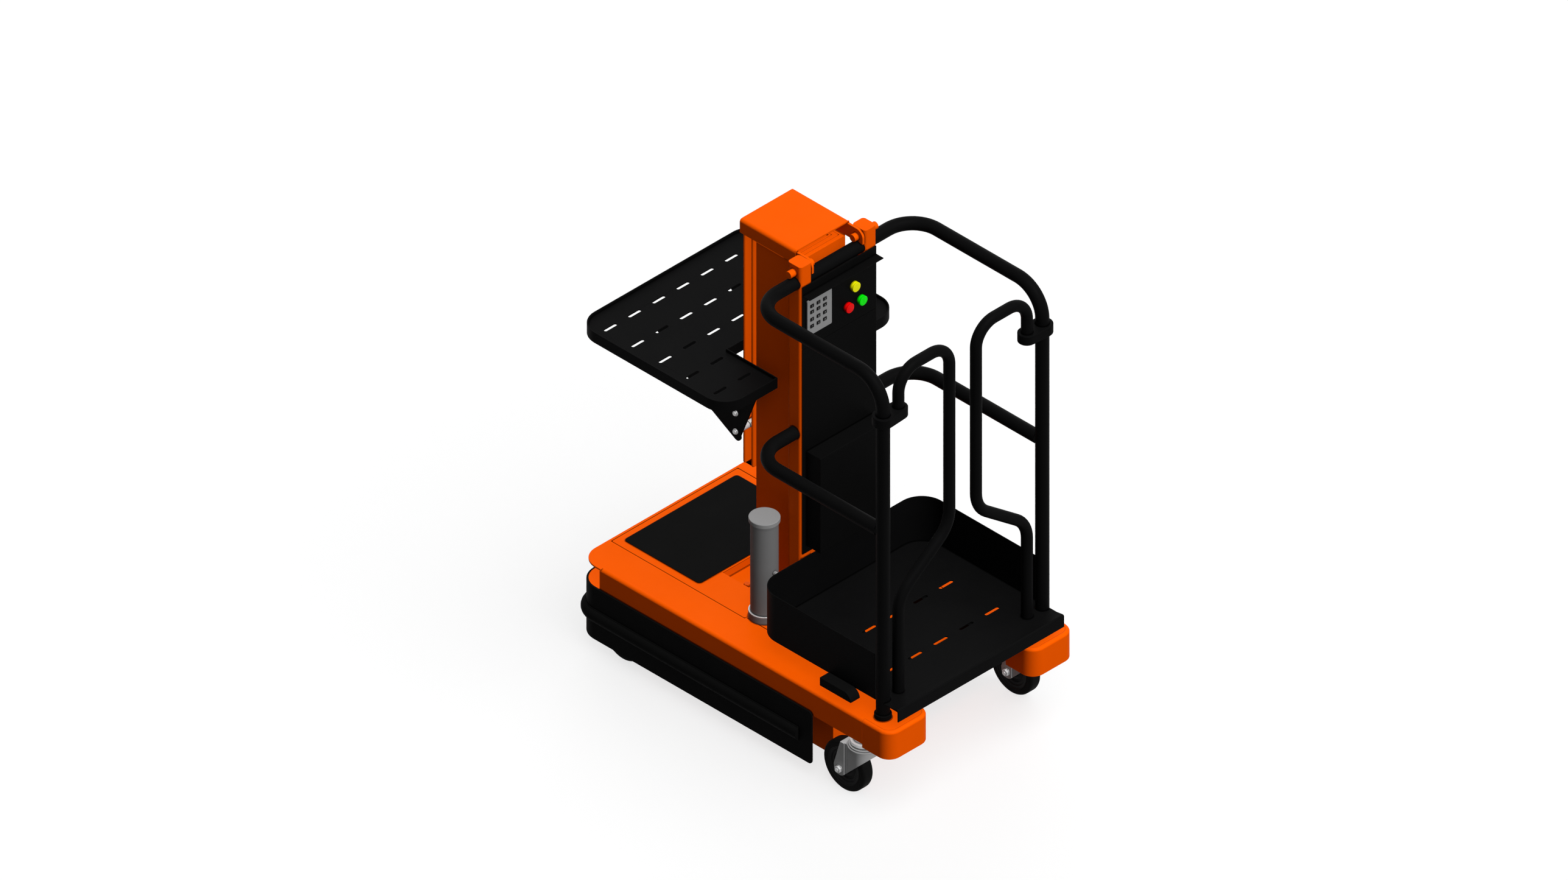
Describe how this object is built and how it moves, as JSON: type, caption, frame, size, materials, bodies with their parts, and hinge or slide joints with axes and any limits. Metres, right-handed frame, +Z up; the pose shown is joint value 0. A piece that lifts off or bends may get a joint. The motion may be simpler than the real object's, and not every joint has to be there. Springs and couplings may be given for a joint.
{
  "type": "manual stock picker",
  "caption": "Push-around stock picker: low four-wheel chassis, telescopic lift mast, railed operator's cage with two swing gates, and a height-adjustable load tray behind the mast.",
  "frame": {"origin": "on the floor under the middle of the machine's bounding box", "axes": "+Z up; +Y from the operator's entry towards the load end; +X to the operator's right when facing the load end"},
  "size_m": [0.772, 1.245, 1.486],
  "materials": {
    "orange_coat": "satin powder coat with a fine orange-peel grain",
    "black_coat": "fine-textured satin black powder coat",
    "skirt_black": "matt black sheet",
    "black_rubber": "matt moulded rubber",
    "wheel_rubber": "grey-black non-marking tyre on a moulded hub",
    "grey_paint": "satin grey paint",
    "zinc": "bright zinc plate",
    "ground_steel": "ground and hard chromed",
    "nylon": "white nylon",
    "panel_black": "satin black panel",
    "keypad_grey": "dark grey anodised plate",
    "key_black": "black silicone",
    "yellow_plastic": "glossy yellow",
    "green_plastic": "glossy green",
    "red_plastic": "glossy red",
    "battery_case": "black polypropylene"
  },
  "bodies": {
    "chassis": {"deck_frame": "orange_coat", "base_pan": "orange_coat", "corner_pads": "orange_coat", "deck_cover": "orange_coat", "deck_mat": "black_rubber", "skirt": "skirt_black", "bumper": "black_rubber", "batteries": "battery_case", "power_unit": "grey_paint", "power_unit_cap": "grey_paint", "mast_column": "orange_coat", "mast_foot_bolts": "zinc", "column_guide_pads": "nylon", "lift_cylinder_barrel": "grey_paint", "castor_plates": "zinc", "castor_plate_bolts": "zinc", "fixed_wheel_forks": "zinc", "fixed_wheel_axles": "zinc"},
    "mast_middle": {"mast_middle_section": "orange_coat", "middle_guide_pads": "nylon", "lift_plunger_lower": "ground_steel"},
    "carriage": {"mast_inner_section": "orange_coat", "inner_guide_pads": "nylon", "lift_plunger_upper": "ground_steel", "mast_hat": "orange_coat", "tray_rails": "orange_coat", "hanger_plates": "orange_coat", "hanger_pins": "orange_coat", "upright_left": "orange_coat", "upright_right": "orange_coat", "console_panel": "panel_black", "console_lower_panel": "panel_black", "control_box": "panel_black", "front_box": "panel_black", "keypad_plate": "keypad_grey", "key_mat": "key_black", "platform_floor": "black_coat", "toe_board": "black_coat", "handrail": "black_coat", "mid_rails": "black_coat", "post_feet": "black_rubber", "rail_clamps": "black_coat"},
    "tray": {"load_tray": "black_coat", "tray_brackets": "black_coat", "tray_rollers": "nylon", "tray_bolts": "zinc"},
    "gate_left": {"gate_left": "black_coat"},
    "gate_right": {"gate_right": "black_coat"},
    "pedal": {"pedal": "black_rubber"},
    "castor_left": {"castor_fork_left": "zinc", "castor_axle_left": "zinc"},
    "castor_right": {"castor_fork_right": "zinc", "castor_axle_right": "zinc"},
    "castor_wheel_left": {"castor_wheel_left": "wheel_rubber"},
    "castor_wheel_right": {"castor_wheel_right": "wheel_rubber"},
    "fixed_wheel_left": {"fixed_wheel_left": "wheel_rubber"},
    "fixed_wheel_right": {"fixed_wheel_right": "wheel_rubber"},
    "button_yellow": {"button_yellow": "yellow_plastic"},
    "button_green": {"button_green": "green_plastic"},
    "button_red": {"button_red": "red_plastic"}
  },
  "joints": [
    {"name": "mast_lift", "type": "slide", "parent": "chassis", "child": "mast_middle", "axis": [0, 0, 1], "range_m": [0, 0.85]},
    {"name": "carriage_lift", "type": "slide", "parent": "mast_middle", "child": "carriage", "axis": [0, 0, 1], "range_m": [0, 0.85]},
    {"name": "tray_height", "type": "slide", "parent": "carriage", "child": "tray", "axis": [0, 0, 1], "range_m": [-0.12, 0.4]},
    {"name": "gate_left_swing", "type": "hinge", "parent": "carriage", "child": "gate_left", "pos_m": [-0.251, -0.5455, 0.348], "axis": [0, 0, 1], "range_deg": [0, 90], "stiffness_Nm_per_rad": 1.2},
    {"name": "gate_right_swing", "type": "hinge", "parent": "carriage", "child": "gate_right", "pos_m": [0.251, -0.5455, 0.348], "axis": [0, 0, -1], "range_deg": [0, 90], "stiffness_Nm_per_rad": 1.2},
    {"name": "pedal_press", "type": "hinge", "parent": "carriage", "child": "pedal", "pos_m": [-0.34, -0.3705, 0.336], "axis": [1, 0, 0], "range_deg": [0, 8], "stiffness_Nm_per_rad": 20, "springref_deg": -2.86},
    {"name": "castor_swivel_left", "type": "hinge", "parent": "chassis", "child": "castor_left", "pos_m": [-0.327, -0.4885, 0.08], "axis": [0, 0, 1], "continuous": true},
    {"name": "castor_spin_left", "type": "hinge", "parent": "castor_left", "child": "castor_wheel_left", "pos_m": [-0.327, -0.4265, 0.08], "axis": [1, 0, 0], "continuous": true},
    {"name": "fixed_spin_left", "type": "hinge", "parent": "chassis", "child": "fixed_wheel_left", "pos_m": [-0.319, 0.4455, 0.08], "axis": [1, 0, 0], "continuous": true},
    {"name": "castor_swivel_right", "type": "hinge", "parent": "chassis", "child": "castor_right", "pos_m": [0.327, -0.4885, 0.08], "axis": [0, 0, 1], "continuous": true},
    {"name": "castor_spin_right", "type": "hinge", "parent": "castor_right", "child": "castor_wheel_right", "pos_m": [0.327, -0.4265, 0.08], "axis": [1, 0, 0], "continuous": true},
    {"name": "fixed_spin_right", "type": "hinge", "parent": "chassis", "child": "fixed_wheel_right", "pos_m": [0.319, 0.4455, 0.08], "axis": [1, 0, 0], "continuous": true},
    {"name": "yellow_press", "type": "slide", "parent": "carriage", "child": "button_yellow", "axis": [0, 1, 0], "range_m": [0, 0.004], "stiffness_N_per_m": 600},
    {"name": "green_press", "type": "slide", "parent": "carriage", "child": "button_green", "axis": [0, 1, 0], "range_m": [0, 0.004], "stiffness_N_per_m": 600},
    {"name": "red_press", "type": "slide", "parent": "carriage", "child": "button_red", "axis": [0, 1, 0], "range_m": [0, 0.004], "stiffness_N_per_m": 600}
  ],
  "couplings": [
    {"joint": "carriage_lift", "follows": "mast_lift", "ratio": 1}
  ]
}
